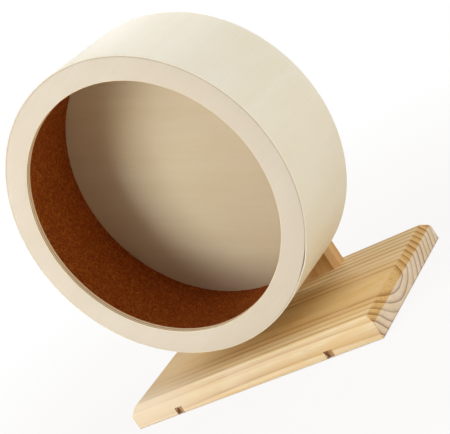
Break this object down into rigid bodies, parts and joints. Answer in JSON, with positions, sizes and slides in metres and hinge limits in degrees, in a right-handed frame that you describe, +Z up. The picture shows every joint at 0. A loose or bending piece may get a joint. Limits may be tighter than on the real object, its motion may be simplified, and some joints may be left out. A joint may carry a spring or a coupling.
{
  "type": "rodent exercise wheel",
  "caption": "Free-standing running wheel for small rodents: an open-fronted plywood drum lined with cork, turning on a ball-bearing axle in a pine stand.",
  "frame": {"origin": "middle of the base's flat underside", "axes": "+Z up, +X along the base's length, -Y towards the drum's open front, +Y towards the upright at the back; the axle runs along Y"},
  "size_m": [0.2, 0.1256, 0.2245],
  "materials": {
    "plywood": "sanded birch plywood",
    "bent_plywood": "sanded thin birch plywood",
    "cork": "fine-grained sheet cork",
    "pine": "planed and oiled pine",
    "hardwood": "plain beech",
    "zinc_steel": "bright zinc plate",
    "bearing_steel": "ground steel",
    "nylon": "natural nylon"
  },
  "bodies": {
    "stand": {"base_board": "pine", "upright": "pine", "left_strip": "hardwood", "right_strip": "hardwood", "upright_screws": "zinc_steel", "upright_dowels": "hardwood", "front_outer_race": "bearing_steel", "rear_outer_race": "bearing_steel", "front_shields": "bearing_steel", "rear_shields": "bearing_steel"},
    "wheel": {"drum_wall": "bent_plywood", "front_ring": "plywood", "back_disc": "plywood", "cork_lining": "cork", "hub_block": "hardwood", "hub_screws": "zinc_steel", "axle_bolt": "zinc_steel", "hub_spacer": "zinc_steel", "inner_spacer": "zinc_steel", "rear_washer": "zinc_steel", "lock_nut": "zinc_steel", "nut_insert": "nylon", "front_inner_race": "bearing_steel", "rear_inner_race": "bearing_steel"},
    "front_ball_set": {"front_balls": "bearing_steel", "front_cage": "nylon"},
    "rear_ball_set": {"rear_balls": "bearing_steel", "rear_cage": "nylon"}
  },
  "joints": [
    {"name": "wheel_spin", "type": "hinge", "parent": "stand", "child": "wheel", "pos_m": [0, 0, 0.1245], "axis": [0, 1, 0], "continuous": true},
    {"name": "front_cage_spin", "type": "hinge", "parent": "stand", "child": "front_ball_set", "pos_m": [0, 0.04273, 0.1245], "axis": [0, 1, 0], "continuous": true},
    {"name": "rear_cage_spin", "type": "hinge", "parent": "stand", "child": "rear_ball_set", "pos_m": [0, 0.05173, 0.1245], "axis": [0, 1, 0], "continuous": true}
  ],
  "couplings": [
    {"joint": "front_cage_spin", "follows": "wheel_spin", "ratio": 0.36},
    {"joint": "rear_cage_spin", "follows": "wheel_spin", "ratio": 0.36}
  ]
}
